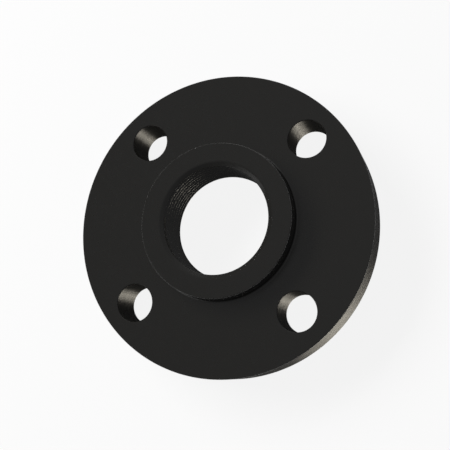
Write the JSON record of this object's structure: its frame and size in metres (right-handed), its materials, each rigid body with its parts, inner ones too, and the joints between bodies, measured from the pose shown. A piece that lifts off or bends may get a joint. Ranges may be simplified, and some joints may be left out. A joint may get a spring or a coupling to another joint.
{
  "type": "threaded pipe flange",
  "caption": "Round steel pipe flange with a short hub, a threaded bore through it and bolt holes round its disc, finished in satin black.",
  "frame": {"origin": "on the bore's axis, at the flat sealing face that the flange lies on", "axes": "+Z along the bore from the sealing face towards the nose of the hub, X and Y along the two centre lines that the bolt holes straddle"},
  "size_m": [0.127, 0.127, 0.0222],
  "materials": {
    "black_steel": "satin black coating over turned and drilled forged steel"
  },
  "bodies": {
    "root": {"flange": "black_steel"}
  },
  "joints": []
}
